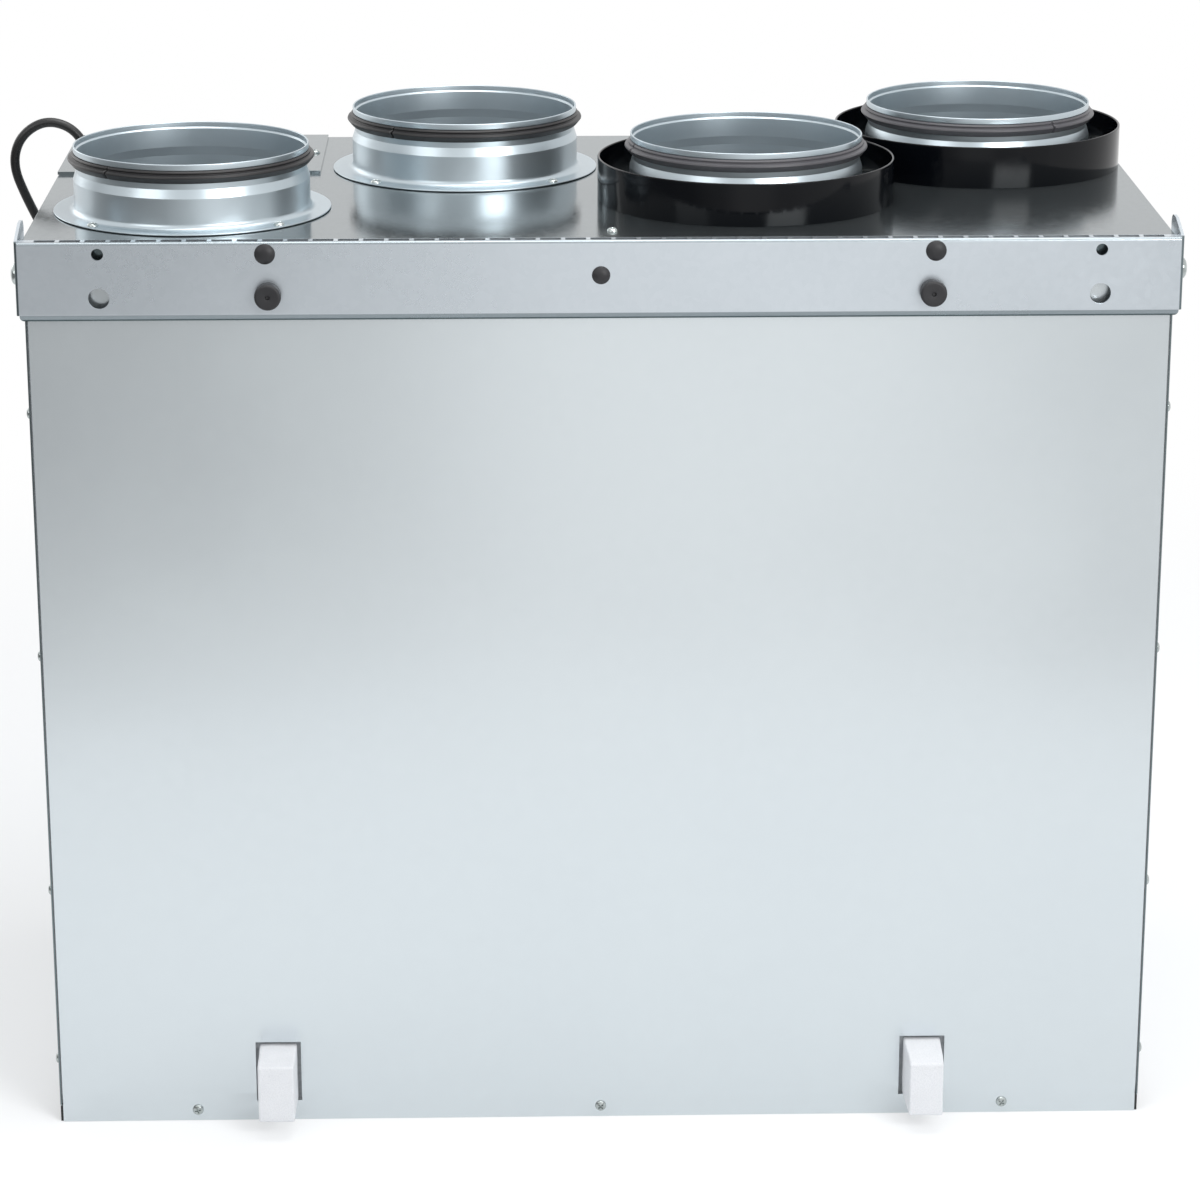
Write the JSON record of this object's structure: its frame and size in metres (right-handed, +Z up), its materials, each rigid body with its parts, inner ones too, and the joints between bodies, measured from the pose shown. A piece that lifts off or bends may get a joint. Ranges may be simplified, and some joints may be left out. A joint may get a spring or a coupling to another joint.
{
  "type": "heat recovery ventilator",
  "caption": "Wall-hung heat recovery ventilator with a galvanised casing, top duct spigots with rubber seals, a slotted hanging rail and foam wall pads, seen from its wall side.",
  "frame": {"origin": "the underside of the casing, under the middle of its footprint", "axes": "+X to the right as seen from the wall side, +Y from the wall to the service door, +Z up along the ducts"},
  "size_m": [0.9983, 0.6455, 0.842],
  "materials": {
    "galvanised_sheet": "satin galvanised sheet steel",
    "galvanised_top": "glossy rolled galvanised sheet steel",
    "rail_steel": "spangled galvanised steel",
    "spigot_steel": "bright pressed galvanised steel",
    "insulation_foam": "matt light grey moulded insulation foam",
    "tray_plastic": "matt black moulded base",
    "black_rubber": "matt",
    "seal_rubber": "satin extruded rubber",
    "collar_plastic": "glossy black plastic",
    "white_foam": "fine closed-cell white foam",
    "zinc_screws": "bright zinc plate",
    "lead_sheath": "satin black sheath",
    "plug_plastic": "satin moulded plastic",
    "pin_metal": "nickel plate"
  },
  "bodies": {
    "root": {"base_tray": "tray_plastic", "rear_panel": "galvanised_sheet", "left_side_panel": "galvanised_sheet", "right_side_panel": "galvanised_sheet", "top_panel": "galvanised_top", "front_panel": "galvanised_sheet", "exchanger_core": "insulation_foam", "cover_plate": "galvanised_top", "hanging_rail": "rail_steel", "rail_ear_left": "rail_steel", "rail_ear_right": "rail_steel", "rail_plugs": "black_rubber", "rail_bumpers": "black_rubber", "wall_pad_left": "white_foam", "wall_pad_right": "white_foam", "rear_screws": "zinc_screws", "side_screws": "zinc_screws", "ear_bolts": "zinc_screws", "flange_screws": "zinc_screws", "top_screw": "zinc_screws", "cover_screw": "zinc_screws", "lead_outlet": "black_rubber", "mains_cord": "lead_sheath", "mains_cord_coil": "lead_sheath", "mains_cord_tail": "lead_sheath", "mains_plug": "plug_plastic", "plug_pins": "pin_metal", "duct_block_1": "insulation_foam", "duct_spigot_1": "spigot_steel", "duct_seal_1": "seal_rubber", "duct_block_2": "insulation_foam", "duct_spigot_2": "spigot_steel", "duct_seal_2": "seal_rubber", "duct_block_3": "insulation_foam", "duct_spigot_3": "spigot_steel", "duct_seal_3": "seal_rubber", "duct_block_4": "insulation_foam", "duct_spigot_4": "spigot_steel", "duct_seal_4": "seal_rubber", "duct_collar_3": "collar_plastic", "duct_collar_4": "collar_plastic"}
  },
  "joints": []
}
